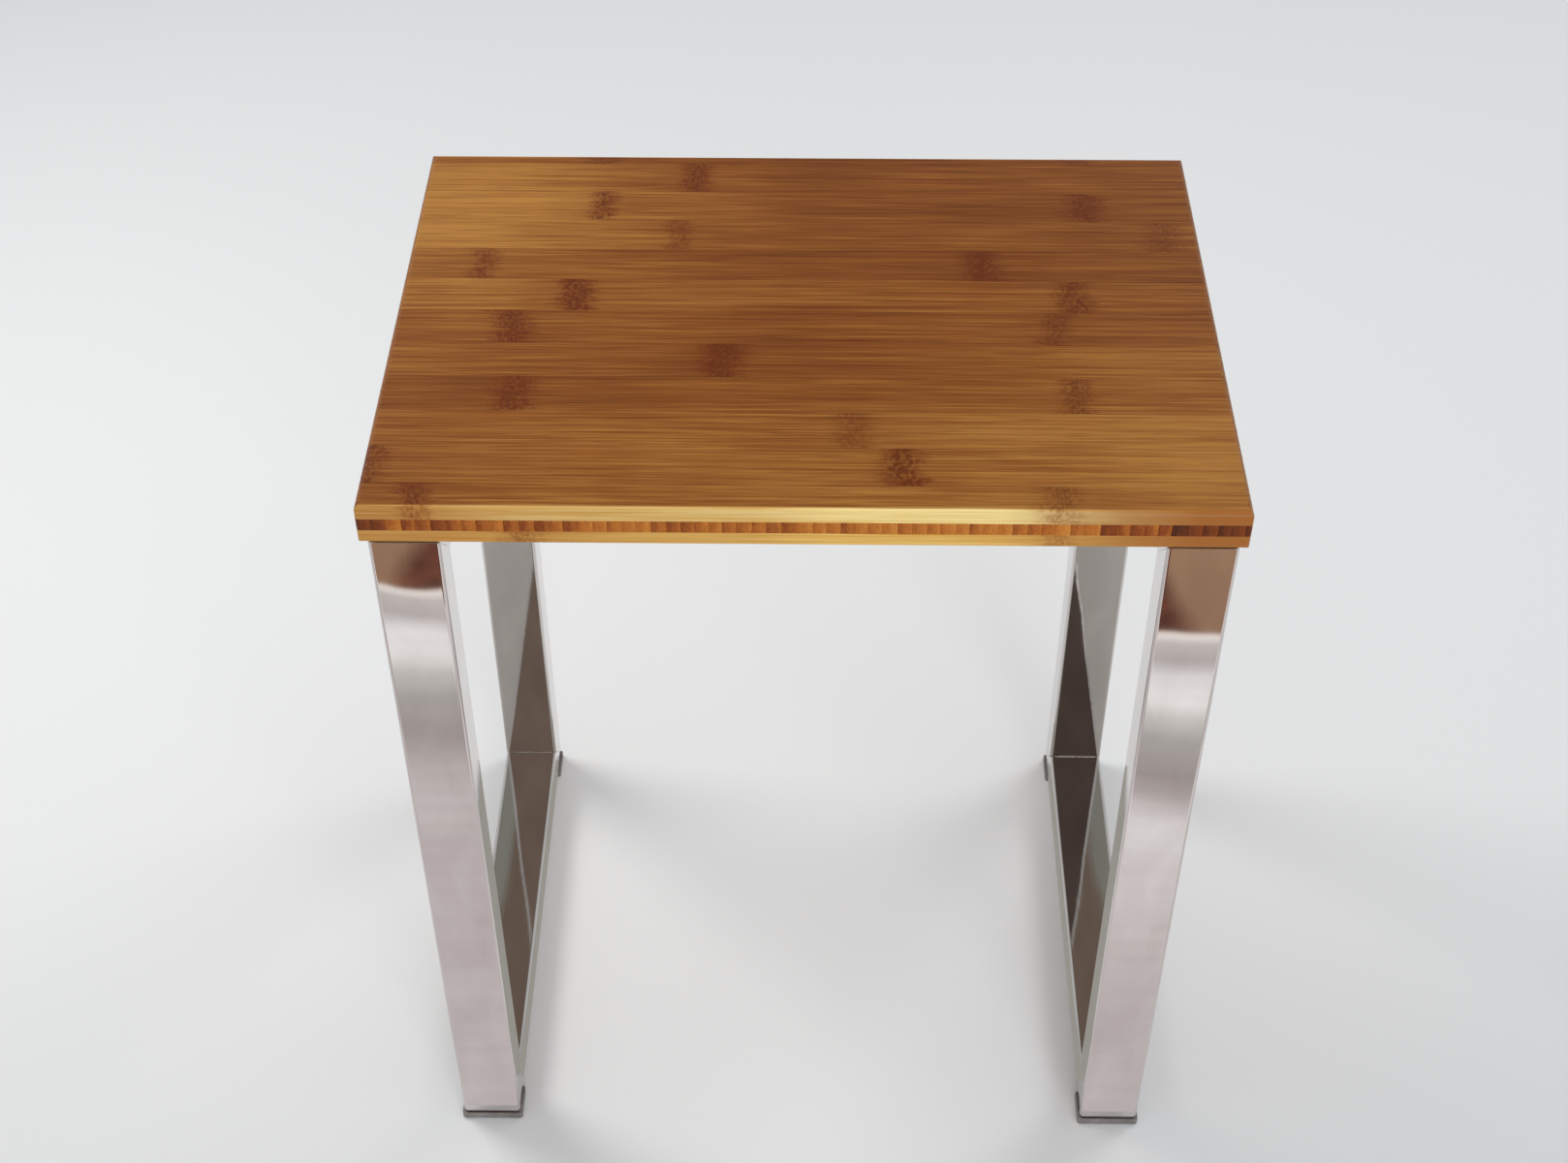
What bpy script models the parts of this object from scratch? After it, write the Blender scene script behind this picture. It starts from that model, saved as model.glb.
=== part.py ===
"""Shower stool: a three-ply bamboo board on two welded loops of polished stainless rectangular tube.

Metres, +Z up. The origin is on the floor under the middle of the seat, -Y is the front, +X is the right.
"""

import math

import bmesh
import bpy
from mathutils import Matrix, Vector

# Overall
SEAT_WIDTH = 0.365
SEAT_DEPTH = 0.260
STOOL_HEIGHT = 0.435
GAP = 0.0003  # left between pieces that touch

# The board: outer plies of wide strips laid flat, and a cross-grained core between them
OUTER_PLY = 0.0065
CORE_PLY = 0.0060
STRIP_WIDTH = 0.02365
TOP_BACK_STRIP = 0.008  # the narrow strip that the saw left along the back edge of the top ply
BOTTOM_BACK_STRIP = 0.016  # the same on the bottom ply
TOP_EDGE_RADIUS = 0.003
BOTTOM_EDGE_RADIUS = 0.001
CORNER_RADIUS = 0.0015

# The frames
TUBE_WIDTH = 0.030  # across the stool
TUBE_DEPTH = 0.020  # in the plane of the loop
TUBE_WALL = 0.0012
TUBE_CORNER_RADIUS = 0.0018
FRAME_SIDE_INSET = 0.0035  # from the side edge of the seat to the outer face of the tube

# The feet
FOOT_HEIGHT = 0.0055
FOOT_TAPE = 0.0008
FOOT_PROUD = 0.001  # how far a pad stands out past the tube
FOOT_DEPTH = 0.018
FOOT_CORNER_RADIUS = 0.0012
TAPE_INSET = 0.0006

# The screws that hold the seat, up through the top rails
SCREW_FROM_MIDDLE = 0.080
SCREW_LENGTH = 0.030
SCREW_RADIUS = 0.0023
SCREW_POINT = 0.004
HEAD_RADIUS = 0.0047
HEAD_HEIGHT = 0.0030
HEAD_RIM = 0.0010  # the straight part of the head's side, before its dome
RECESS_WIDTH = 0.0012
RECESS_SPAN = 0.0050
RECESS_DEPTH = 0.0016
WASHER_RADIUS = 0.0065
WASHER_THICKNESS = 0.0010

# Worked out from the above
SEAT_THICKNESS = 2 * OUTER_PLY + CORE_PLY
SEAT_BOTTOM = STOOL_HEIGHT - SEAT_THICKNESS
CORE_BOTTOM = SEAT_BOTTOM + OUTER_PLY
CORE_TOP = CORE_BOTTOM + CORE_PLY
FRAME_TOP = SEAT_BOTTOM - GAP
FRAME_HEIGHT = FRAME_TOP - FOOT_HEIGHT
FRAME_MIDDLE = FOOT_HEIGHT + FRAME_HEIGHT / 2
FRAME_X = SEAT_WIDTH / 2 - FRAME_SIDE_INSET - TUBE_WIDTH / 2
WASHER_TOP = FRAME_TOP - TUBE_DEPTH - GAP
HEAD_TOP = WASHER_TOP - WASHER_THICKNESS - GAP
HOLE_RADIUS = SCREW_RADIUS + GAP
PAD_HEIGHT = FOOT_HEIGHT - FOOT_TAPE - GAP
TAPE_HEIGHT = FOOT_TAPE - GAP

ROUND_SIDES = 24
DOME_STEPS = 4
SPARE = 0.02  # how far a cutter or a blank runs past what it makes
QUARTER_TURN = math.pi / 2
SIDES = (("left", -1), ("right", 1))
ENDS = (("front", -1), ("rear", 1))


def new_collection(name, hidden=False):
    collection = bpy.data.collections.new(name)
    bpy.context.scene.collection.children.link(collection)
    collection.hide_render = hidden
    return collection


def material(name, colour, roughness, metallic=0.0):
    made = bpy.data.materials.new(name)
    made.use_nodes = True
    shader = made.node_tree.nodes["Principled BSDF"]
    shader.inputs["Base Color"].default_value = (*colour, 1.0)
    shader.inputs["Roughness"].default_value = roughness
    shader.inputs["Metallic"].default_value = metallic
    made.diffuse_color = (*colour, 1.0)
    return made


def add_part(name, mesh, surface, location=(0, 0, 0)):
    made = bpy.data.objects.new(name, mesh)
    made.location = location
    parts.objects.link(made)
    if not mesh.materials:
        mesh.materials.append(surface)
    return made


def add_cutter(name, mesh, location=(0, 0, 0)):
    """A helper that shapes other pieces and isn't one itself."""
    made = bpy.data.objects.new(name, mesh)
    made.location = location
    made.hide_render = True
    made.display_type = "WIRE"
    cutters.objects.link(made)
    return made


def boolean(target, other, operation="DIFFERENCE"):
    modifier = target.modifiers.new(f"{operation.lower()} {other.name}", "BOOLEAN")
    modifier.operation = operation
    modifier.solver = "EXACT"
    modifier.object = other


def settled_mesh(target):
    """The object's mesh with its modifiers carried out, for copies to share."""
    bpy.context.view_layer.update()
    graph = bpy.context.evaluated_depsgraph_get()
    mesh = bpy.data.meshes.new_from_object(target.evaluated_get(graph))
    mesh.name = target.name
    return mesh


def box_mesh(name, size, roundings=()):
    """A box about its own centre. Each rounding is the direction of the edges it rounds, the side of the
    box that they lie on ("" for both sides), their radius, and the number of flats that make the round."""
    shape = bmesh.new()
    bmesh.ops.create_cube(shape, size=1.0)
    bmesh.ops.scale(shape, vec=Vector(size), verts=shape.verts)
    for direction, side, radius, flats in roundings:
        along = "XYZ".index(direction)
        edges = [e for e in shape.edges if abs(e.verts[0].co[along] - e.verts[1].co[along]) > size[along] / 2]
        if side:
            axis = "XYZ".index(side[1])
            sign = 1 if side[0] == "+" else -1
            edges = [e for e in edges if sign * e.verts[0].co[axis] > 0]
        bmesh.ops.bevel(shape, geom=edges, offset=radius, segments=flats, profile=0.5, affect="EDGES")
    mesh = bpy.data.meshes.new(name)
    shape.to_mesh(mesh)
    shape.free()
    return mesh


def cylinder_mesh(name, radius, height):
    """A cylinder that stands on its own origin."""
    shape = bmesh.new()
    bmesh.ops.create_cone(
        shape,
        cap_ends=True,
        segments=ROUND_SIDES,
        radius1=radius,
        radius2=radius,
        depth=height,
        matrix=Matrix.Translation((0, 0, height / 2)),
    )
    mesh = bpy.data.meshes.new(name)
    shape.to_mesh(mesh)
    shape.free()
    return mesh


def turned(name, profile, closed):
    """A solid of revolution about Z. The profile is (radius, height) points, top to bottom."""
    count = len(profile)
    edges = [(i, (i + 1) % count) for i in range(count if closed else count - 1)]
    mesh = bpy.data.meshes.new(name)
    mesh.from_pydata([(r, 0, z) for r, z in profile], edges, [])
    made = add_cutter(name, mesh)
    spin = made.modifiers.new("turn", "SCREW")
    spin.axis = "Z"
    spin.steps = ROUND_SIDES
    spin.render_steps = ROUND_SIDES
    spin.use_merge_vertices = True
    spin.merge_threshold = 0.00001
    return made


def board_profiles():
    """Three solids whose common part is the finished board: its plan, and its two rounded-over sections."""
    middle = (0, 0, SEAT_BOTTOM + SEAT_THICKNESS / 2)
    plan_size = (SEAT_WIDTH, SEAT_DEPTH, SEAT_THICKNESS + SPARE)
    plan = box_mesh("board_plan", plan_size, [("Z", "", CORNER_RADIUS, 3)])
    made = [add_cutter("board_plan", plan, middle)]
    for along, size in (
        ("Y", (SEAT_WIDTH, SEAT_DEPTH + SPARE, SEAT_THICKNESS)),
        ("X", (SEAT_WIDTH + SPARE, SEAT_DEPTH, SEAT_THICKNESS)),
    ):
        roundings = [(along, "+Z", TOP_EDGE_RADIUS, 5), (along, "-Z", BOTTOM_EDGE_RADIUS, 2)]
        name = f"board_section_along_{along}"
        made.append(add_cutter(name, box_mesh(name, size, roundings), middle))
    return made


def strip_joints(back_strip):
    """Where a ply's strips begin and end, from the back edge of the board to the front."""
    places = [SEAT_DEPTH / 2]
    place = SEAT_DEPTH / 2 - back_strip
    while place > -SEAT_DEPTH / 2:
        places.append(place)
        place -= STRIP_WIDTH
    return places + [-SEAT_DEPTH / 2]


def add_ply(name, back_strip, low, high, surface, profiles, holes=()):
    """One ply of strips laid side by side, between the heights low and high. A face on the outside of the
    board starts oversize and is brought to size by the profiles; a glued face keeps half a gap."""
    joints = strip_joints(back_strip)
    bottom = low - SPARE / 2 if low == SEAT_BOTTOM else low + GAP / 2
    top = high + SPARE / 2 if high == STOOL_HEIGHT else high - GAP / 2
    for number, (back, front) in enumerate(zip(joints, joints[1:]), start=1):
        back_face = back + SPARE / 2 if number == 1 else back - GAP / 2
        front_face = front - SPARE / 2 if number == len(joints) - 1 else front + GAP / 2
        size = (SEAT_WIDTH + SPARE, back_face - front_face, top - bottom)
        middle = (0, (back_face + front_face) / 2, (top + bottom) / 2)
        strip = add_part(f"{name}_strip_{number:02d}", box_mesh(name, size), surface, middle)
        for profile in profiles:
            boolean(strip, profile, "INTERSECT")
        for hole in holes:
            if front_face - HOLE_RADIUS < hole.location.y < back_face + HOLE_RADIUS:
                boolean(strip, hole)


def add_core(surface, profiles, holes):
    size = (SEAT_WIDTH + SPARE, SEAT_DEPTH + SPARE, CORE_PLY - GAP)
    core = add_part("seat_core_ply", box_mesh("core", size), surface, (0, 0, CORE_BOTTOM + CORE_PLY / 2))
    for profile in profiles:
        boolean(core, profile, "INTERSECT")
    for hole in holes:
        boolean(core, hole)


def mitred_tube(name, length):
    """A hollow tube along Z, cut at 45 degrees at both ends so that its +Y face is the short, inner one."""
    outside = box_mesh(name, (TUBE_WIDTH, TUBE_DEPTH, length), [("Z", "", TUBE_CORNER_RADIUS, 4)])
    tube = add_cutter(f"{name}_blank", outside)
    bore_size = (TUBE_WIDTH - 2 * TUBE_WALL, TUBE_DEPTH - 2 * TUBE_WALL, length + SPARE)
    bore = box_mesh(f"{name}_bore", bore_size, [("Z", "", TUBE_CORNER_RADIUS - TUBE_WALL, 2)])
    boolean(tube, add_cutter(f"{name}_bore", bore))
    reach = 3 * TUBE_DEPTH
    for end in (-1, 1):
        block = add_cutter(f"{name}_mitre_{end:+d}", box_mesh("mitre", (reach, reach, reach)))
        block.rotation_euler.x = math.radians(45)
        # The cut starts at the loop's outer corner and keeps half a gap to the joint.
        outward = Vector((0, 1, end)).normalized()
        block.location = Vector((0, -TUBE_DEPTH / 2, end * length / 2)) + outward * (reach - GAP) / 2
        boolean(tube, block)
    return settled_mesh(tube)


def add_frame(side, sign, leg_mesh, rail_mesh, surface, holes):
    """One loop: two upright legs, a rail along the floor and a rail under the seat."""
    loop = bpy.data.objects.new(f"{side}_frame", None)
    loop.location = (sign * FRAME_X, 0, FRAME_MIDDLE)
    parts.objects.link(loop)
    out = (SEAT_DEPTH - TUBE_DEPTH) / 2
    up = (FRAME_HEIGHT - TUBE_DEPTH) / 2
    for name, mesh, location, rotation in (
        ("front_leg", leg_mesh, (0, -out, 0), (0, 0, 0)),
        ("rear_leg", leg_mesh, (0, out, 0), (0, 0, 2 * QUARTER_TURN)),
        ("bottom_rail", rail_mesh, (0, 0, -up), (QUARTER_TURN, 0, 0)),
        ("top_rail", rail_mesh.copy(), (0, 0, up), (-QUARTER_TURN, 0, 0)),
    ):
        member = add_part(f"{side}_{name}", mesh, surface, location)
        member.rotation_euler = rotation
        member.parent = loop
        if name == "top_rail":
            for hole in holes:
                boolean(member, hole)


def screw_holes(side, sign):
    """Through the top rail and into the board, with room around each screw."""
    made = []
    height = SCREW_LENGTH + SPARE
    bottom = HEAD_TOP + SCREW_LENGTH + GAP - height
    for end, way in ENDS:
        mesh = cylinder_mesh("screw_hole", HOLE_RADIUS, height)
        place = (sign * FRAME_X, way * SCREW_FROM_MIDDLE, bottom)
        made.append(add_cutter(f"{side}_{end}_screw_hole", mesh, place))
    return made


def screw_mesh():
    """A pan-head screw with a cross recess, pointing up. Its origin is where the head meets the washer."""
    profile = [
        (0, SCREW_LENGTH),
        (SCREW_RADIUS / 5, SCREW_LENGTH),
        (SCREW_RADIUS, SCREW_LENGTH - SCREW_POINT),
        (SCREW_RADIUS, 0),
        (HEAD_RADIUS, 0),
        (HEAD_RADIUS, -HEAD_RIM),
    ]
    for step in range(1, DOME_STEPS + 1):
        turn = QUARTER_TURN * step / DOME_STEPS
        radius = 0 if step == DOME_STEPS else HEAD_RADIUS * math.cos(turn)
        profile.append((radius, -HEAD_RIM - (HEAD_HEIGHT - HEAD_RIM) * math.sin(turn)))
    screw = turned("screw_blank", profile, closed=False)
    for name, size in (("slot_a", (RECESS_SPAN, RECESS_WIDTH)), ("slot_b", (RECESS_WIDTH, RECESS_SPAN))):
        slot = box_mesh(name, (*size, 2 * RECESS_DEPTH))
        boolean(screw, add_cutter(name, slot, (0, 0, -HEAD_HEIGHT)))
    return settled_mesh(screw)


def washer_mesh():
    """A flat washer that stands on its own origin."""
    inner, outer, top = HOLE_RADIUS, WASHER_RADIUS, WASHER_THICKNESS
    section = [(inner, top), (outer, top), (outer, 0), (inner, 0)]
    return settled_mesh(turned("washer_blank", section, closed=True))


def add_fasteners(side, sign, screw, washer, surface):
    for end, way in ENDS:
        x, y = sign * FRAME_X, way * SCREW_FROM_MIDDLE
        add_part(f"{side}_{end}_seat_screw", screw, surface, (x, y, HEAD_TOP))
        add_part(f"{side}_{end}_screw_washer", washer, surface, (x, y, WASHER_TOP - WASHER_THICKNESS))


def add_feet(side, sign, pad_surface, tape_surface):
    """A pad under each corner of the loop, held on by a layer of adhesive foam."""
    x = sign * FRAME_X
    pad_size = (TUBE_WIDTH + 2 * FOOT_PROUD, FOOT_DEPTH, PAD_HEIGHT)
    tape_size = (TUBE_WIDTH - 2 * TAPE_INSET, FOOT_DEPTH - 2 * TAPE_INSET, TAPE_HEIGHT)
    for end, way in ENDS:
        y = way * (SEAT_DEPTH / 2 + FOOT_PROUD - FOOT_DEPTH / 2)
        pad = box_mesh("foot_pad", pad_size, [("Z", "", FOOT_CORNER_RADIUS, 3)])
        add_part(f"{side}_{end}_foot_pad", pad, pad_surface, (x, y, PAD_HEIGHT / 2))
        tape = box_mesh("foot_tape", tape_size)
        tape_z = FOOT_HEIGHT - GAP - TAPE_HEIGHT / 2
        add_part(f"{side}_{end}_foot_tape", tape, tape_surface, (x, y, tape_z))


for old in list(bpy.data.objects):
    bpy.data.objects.remove(old, do_unlink=True)

parts = new_collection("shower_stool")
cutters = new_collection("cutters", hidden=True)

top_bamboo = material("bamboo_top", (0.52, 0.26, 0.09), 0.38)
core_bamboo = material("bamboo_core", (0.33, 0.13, 0.04), 0.45)
bottom_bamboo = material("bamboo_bottom", (0.62, 0.36, 0.14), 0.5)
steel = material("polished_stainless", (0.78, 0.77, 0.76), 0.06, 1.0)
screw_steel = material("screw_steel", (0.62, 0.62, 0.61), 0.3, 1.0)
foot_plastic = material("foot_plastic", (0.42, 0.41, 0.40), 0.55)
foot_foam = material("foot_foam", (0.10, 0.075, 0.06), 0.85)

profiles = board_profiles()
holes = {side: screw_holes(side, sign) for side, sign in SIDES}
all_holes = holes["left"] + holes["right"]
add_ply("seat_top", TOP_BACK_STRIP, CORE_TOP, STOOL_HEIGHT, top_bamboo, profiles)
add_core(core_bamboo, profiles, all_holes)
add_ply("seat_bottom", BOTTOM_BACK_STRIP, SEAT_BOTTOM, CORE_BOTTOM, bottom_bamboo, profiles, all_holes)

leg = mitred_tube("leg", FRAME_HEIGHT)
rail = mitred_tube("rail", SEAT_DEPTH)
screw = screw_mesh()
washer = washer_mesh()
for side, sign in SIDES:
    add_frame(side, sign, leg, rail, steel, holes[side])
    add_fasteners(side, sign, screw, washer, screw_steel)
    add_feet(side, sign, foot_plastic, foot_foam)
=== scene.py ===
"""Looks for the shower stool: a three-ply bamboo board on two welded loops of polished stainless tube.

Metres, +Z up, -Y is the front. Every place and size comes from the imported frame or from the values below.
"""

import math
import random

import bmesh
import bpy
from mathutils import Euler, Matrix, Vector


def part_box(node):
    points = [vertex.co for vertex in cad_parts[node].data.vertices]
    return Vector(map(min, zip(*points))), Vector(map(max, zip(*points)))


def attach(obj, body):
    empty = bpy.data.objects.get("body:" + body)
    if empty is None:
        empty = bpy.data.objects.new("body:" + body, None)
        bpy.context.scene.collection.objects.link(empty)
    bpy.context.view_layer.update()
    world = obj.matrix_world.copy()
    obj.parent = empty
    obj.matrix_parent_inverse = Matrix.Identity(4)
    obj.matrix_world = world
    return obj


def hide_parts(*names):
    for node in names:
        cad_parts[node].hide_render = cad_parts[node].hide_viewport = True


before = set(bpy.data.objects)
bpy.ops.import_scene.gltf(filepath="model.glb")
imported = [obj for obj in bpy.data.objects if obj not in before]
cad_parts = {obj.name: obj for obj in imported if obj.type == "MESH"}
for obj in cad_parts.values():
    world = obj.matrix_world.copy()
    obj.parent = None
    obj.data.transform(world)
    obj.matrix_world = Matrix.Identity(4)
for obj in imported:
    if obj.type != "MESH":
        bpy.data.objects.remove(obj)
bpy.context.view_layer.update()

SPARE = 0.01  # how far a blank runs past the cuts that bring it to length

# The board
TOP_ROUNDING = 0.003
BOTTOM_ROUNDING = 0.001
CORNER_ROUNDING = 0.0015
JOINT_BEVEL = 0.00012  # the faint groove along a glued joint
HALF_GAP = 0.00015  # the CAD leaves this much clear on each side of a joint
CORE_BLOCK_WIDTHS = (0.0054, 0.0066)

# Where each strip's knots lie along it, and how dark each is, from the back strip to the front one
TOP_KNOTS = (
    ((-0.098, 0.60), (0.130, 0.55)),
    ((-0.052, 0.85),),
    ((-0.095, 0.75), (0.131, 0.85)),
    ((-0.060, 0.55), (0.167, 0.50)),
    ((-0.148, 0.62), (0.081, 0.95)),
    ((-0.103, 0.95), (0.121, 0.72)),
    ((-0.131, 0.85), (0.111, 0.60)),
    ((-0.037, 1.00),),
    ((-0.125, 0.80), (0.117, 0.58)),
    ((0.021, 0.45),),
    ((-0.178, 0.65), (0.041, 0.85)),
    ((-0.157, 0.70), (0.105, 0.50)),
)
BOTTOM_KNOTS = (
    ((-0.070, 0.60), (0.150, 0.50)),
    ((0.020, 0.80),),
    ((-0.140, 0.50), (0.095, 0.70)),
    ((-0.030, 0.60),),
    ((-0.165, 0.40), (0.060, 0.80)),
    ((-0.085, 0.70), (0.140, 0.50)),
    ((0.005, 0.60),),
    ((-0.120, 0.80), (0.110, 0.40)),
    ((-0.050, 0.50), (0.170, 0.50)),
    ((-0.155, 0.60), (0.075, 0.70)),
    ((0.035, 0.60),),
    ((-0.116, 0.60), (0.102, 0.50)),
)
# How light each strip is, from 0 to 1, at its left end, its middle and its right end
# On the top these are partly the strips' own tone and partly painted light: the left ends of the back strips
# and the right ends of the front strips are lighter where more light and sheen fell.
TOP_TONES_AND_PAINTED_LIGHT = (
    (0.55, 0.22, 0.32),
    (0.80, 0.30, 0.40),
    (0.84, 0.36, 0.38),
    (0.80, 0.37, 0.46),
    (0.56, 0.29, 0.38),
    (0.68, 0.45, 0.50),
    (0.44, 0.36, 0.45),
    (0.50, 0.34, 0.56),
    (0.38, 0.42, 0.58),
    (0.52, 0.54, 0.72),
    (0.48, 0.58, 0.76),
    (0.50, 0.66, 0.72),
)
BOTTOM_TONES = (
    (0.60, 0.66, 0.58),
    (0.72, 0.62, 0.70),
    (0.52, 0.60, 0.50),
    (0.66, 0.58, 0.70),
    (0.78, 0.70, 0.60),
    (0.56, 0.62, 0.66),
    (0.70, 0.60, 0.54),
    (0.58, 0.66, 0.62),
    (0.74, 0.68, 0.58),
    (0.60, 0.56, 0.66),
    (0.70, 0.64, 0.72),
    (0.68, 0.62, 0.60),
)
# Stretches of the core, along X, whose blocks are darker than the rest: from, to, and by how much
DARK_CORE = (
    (-0.183, -0.170, 0.33),
    (-0.165, -0.144, 0.09),
    (-0.110, -0.091, 0.06),
    (0.118, 0.124, 0.27),
    (0.126, 0.150, 0.24),
    (0.150, 0.183, 0.48),
)

# The frames
TUBE_ROUNDING = 0.0018
MITRE_BEVEL = 0.00008
BEAD_RADIUS = 0.0006
BEAD_RIPPLES = 16

# The feet
FOOT_CORNER = 0.0015
PAD_LIP = 0.0008
PAD_STEP = 0.0003
PAD_RIM = 0.00054
GROOVE_WIDTH = 0.0012
GROOVE_DEPTH = 0.0007
TAPE_RIM = 0.0001

# The screws and washers
HEAD_RADIUS = 0.0047
HEAD_HEIGHT = 0.0030
HEAD_SIDE = 0.0010  # the straight part of the head's side, under its dome
HEAD_BEVEL = 0.0002
DOME_STEPS = 10
SHANK_RADIUS = 0.0023
CORE_RADIUS = 0.78 * SHANK_RADIUS  # at the foot of the thread
CREST_RADIUS = 0.98 * SHANK_RADIUS
THREAD_PITCH = 0.0016
POINT_LENGTH = 0.004
UNTHREADED = 0.006  # the point and the plain shank together
RECESS_WIDTH = 0.0012
RECESS_SPAN = 0.0050
RECESS_DEPTH = 0.0016
WASHER_BEVEL = 0.00015
WASHER_CLEARANCE = 0.0003  # between the screw and the washer's hole

# The camera
CAMERA_PLACE = (0.0020, -0.8200, 1.0472)
CAMERA_LENS = 52.42  # mm
CAMERA_HEADING = 0.81  # degrees
CAMERA_DOWN = 43.36
CAMERA_ROLL = -0.12

# The studio
FLOOR_REACH = 6.0
CARD_FRONT = -0.135  # where the card on the floor in front begins
CARD_SCALE = 0.70  # the distance that the tones of that card are measured against
BESIDE_REACH = 0.34  # how far out the cards beside the frames reach
LIGHTS = (
    # name, place, what it points at, size, watts, tint, whether the steel mirrors it
    ("left_window", (-0.85, 0.45, 1.25), (-0.10, 0.05, 0.3), 0.6, 8, (1.0, 0.98, 0.94), False),
    ("right_window", (1.3, 1.0, 1.9), (0, 0, 0.3), 1.0, 11, (1.0, 0.99, 0.97), False),
    ("front_window", (0.6, -2.2, 1.3), (0, 0, 0.3), 1.4, 18, (1.0, 0.99, 0.97), True),
)

SIDES = ("left", "right")
ENDS = ("front", "rear")


# ---------------------------------------------------------------- materials


def colour(red, green, blue):
    """A colour given on an ordinary 0 to 255 screen scale, as the linear colour that a shader takes."""
    def linear(value):
        part = value / 255
        return part / 12.92 if part <= 0.04045 else ((part + 0.055) / 1.055) ** 2.4

    return (linear(red), linear(green), linear(blue), 1.0)


class Surface:
    """A material and short ways to add nodes to it."""

    def __init__(self, name, roughness=0.5, metallic=0.0):
        self.material = bpy.data.materials.new(name)
        self.material.use_nodes = True
        self.nodes = self.material.node_tree.nodes
        self.links = self.material.node_tree.links
        self.shader = self.nodes["Principled BSDF"]
        self.shader.inputs["Roughness"].default_value = roughness
        self.shader.inputs["Metallic"].default_value = metallic

    def set(self, values):
        for name, value in values.items():
            self.shader.inputs[name].default_value = value

    def feed(self, socket, value):
        if isinstance(value, bpy.types.NodeSocket):
            self.links.new(value, socket)
        else:
            socket.default_value = value

    def place(self):
        """The point on the piece, in the piece's own metres."""
        return self.nodes.new("ShaderNodeTexCoord").outputs["Object"]

    def split(self, vector):
        node = self.nodes.new("ShaderNodeSeparateXYZ")
        self.links.new(vector, node.inputs[0])
        return node.outputs

    def attribute(self, name):
        node = self.nodes.new("ShaderNodeAttribute")
        node.attribute_name = name
        return node.outputs["Fac"]

    def facing(self, axis):
        """How squarely the surface faces along an axis, either way, from 0 to 1."""
        normal = self.nodes.new("ShaderNodeNewGeometry").outputs["True Normal"]
        return self.math("ABSOLUTE", self.split(normal)[axis])

    def outside(self, axis, limit):
        """1 where the point is further along an axis from the middle of the stool than the limit, else 0."""
        position = self.nodes.new("ShaderNodeNewGeometry").outputs["Position"]
        return self.math("GREATER_THAN", self.math("ABSOLUTE", self.split(position)[axis]), limit)

    def math(self, operation, first, second=0.0, third=0.0):
        node = self.nodes.new("ShaderNodeMath")
        node.operation = operation
        for socket, value in zip(node.inputs, (first, second, third)):
            self.feed(socket, value)
        return node.outputs[0]

    def noise(self, vector, scale, detail=2.0, seed=0.0, distortion=0.0):
        """Noise whose grain per metre is given for each axis."""
        mapping = self.nodes.new("ShaderNodeMapping")
        mapping.inputs["Scale"].default_value = scale
        mapping.inputs["Location"].default_value = (seed, seed * 1.7, seed * 0.6)
        self.links.new(vector, mapping.inputs["Vector"])
        node = self.nodes.new("ShaderNodeTexNoise")
        node.inputs["Scale"].default_value = 1.0
        node.inputs["Detail"].default_value = detail
        node.inputs["Distortion"].default_value = distortion
        self.links.new(mapping.outputs[0], node.inputs["Vector"])
        return node.outputs["Fac"]

    def ramp(self, value, *stops):
        """Each stop is a place from 0 to 1 and a colour or a grey level."""
        node = self.nodes.new("ShaderNodeValToRGB")
        self.feed(node.inputs["Fac"], value)
        marks = node.color_ramp.elements
        while len(marks) < len(stops):
            marks.new(0.5)
        for mark, (place, shade) in zip(marks, stops):
            mark.position = place
            mark.color = shade if isinstance(shade, tuple) else (shade, shade, shade, 1.0)
        return node.outputs["Color"]

    def varied(self, value, pattern, spread):
        """The value, moved up and down by half of the spread by a pattern that runs from 0 to 1."""
        return self.math("ADD", value, self.math("MULTIPLY_ADD", pattern, spread, -spread / 2))

    def mix(self, amount, first, second):
        """The first colour where the amount is 0, the second where it is 1."""
        node = self.nodes.new("ShaderNodeMix")
        node.data_type = "RGBA"
        self.feed(node.inputs["Factor"], amount)
        self.feed(node.inputs[6], first)  # inputs 6 and 7 and output 2 are the node's colours
        self.feed(node.inputs[7], second)
        return node.outputs[2]

    def bump(self, height, distance, strength=1.0, before=None):
        node = self.nodes.new("ShaderNodeBump")
        node.inputs["Strength"].default_value = strength
        node.inputs["Distance"].default_value = distance
        self.links.new(height, node.inputs["Height"])
        if before:
            self.links.new(before, node.inputs["Normal"])
        return node.outputs[0]

    def finish(self, base, roughness, normal=None):
        self.links.new(base, self.shader.inputs["Base Color"])
        self.links.new(roughness, self.shader.inputs["Roughness"])
        if normal:
            self.links.new(normal, self.shader.inputs["Normal"])
        return self.material


KNOT_REACH = 0.011  # to each side of a knot, where its dark band has faded out
KNOT_RIM = 0.0046  # to each side of a knot, where its broken lines run
RIM_WIDTH = 0.002
SMEAR_REACH = 0.036
KNOT_SHADE = colour(98, 40, 4)
EDGE_KNOT_SHADE = colour(150, 84, 24)
RED_FIBRE = colour(150, 80, 32)
# Painted shade: the amber that the edges turn towards their ends
PAINTED_EDGE_SHADE = colour(168, 102, 38)
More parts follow.
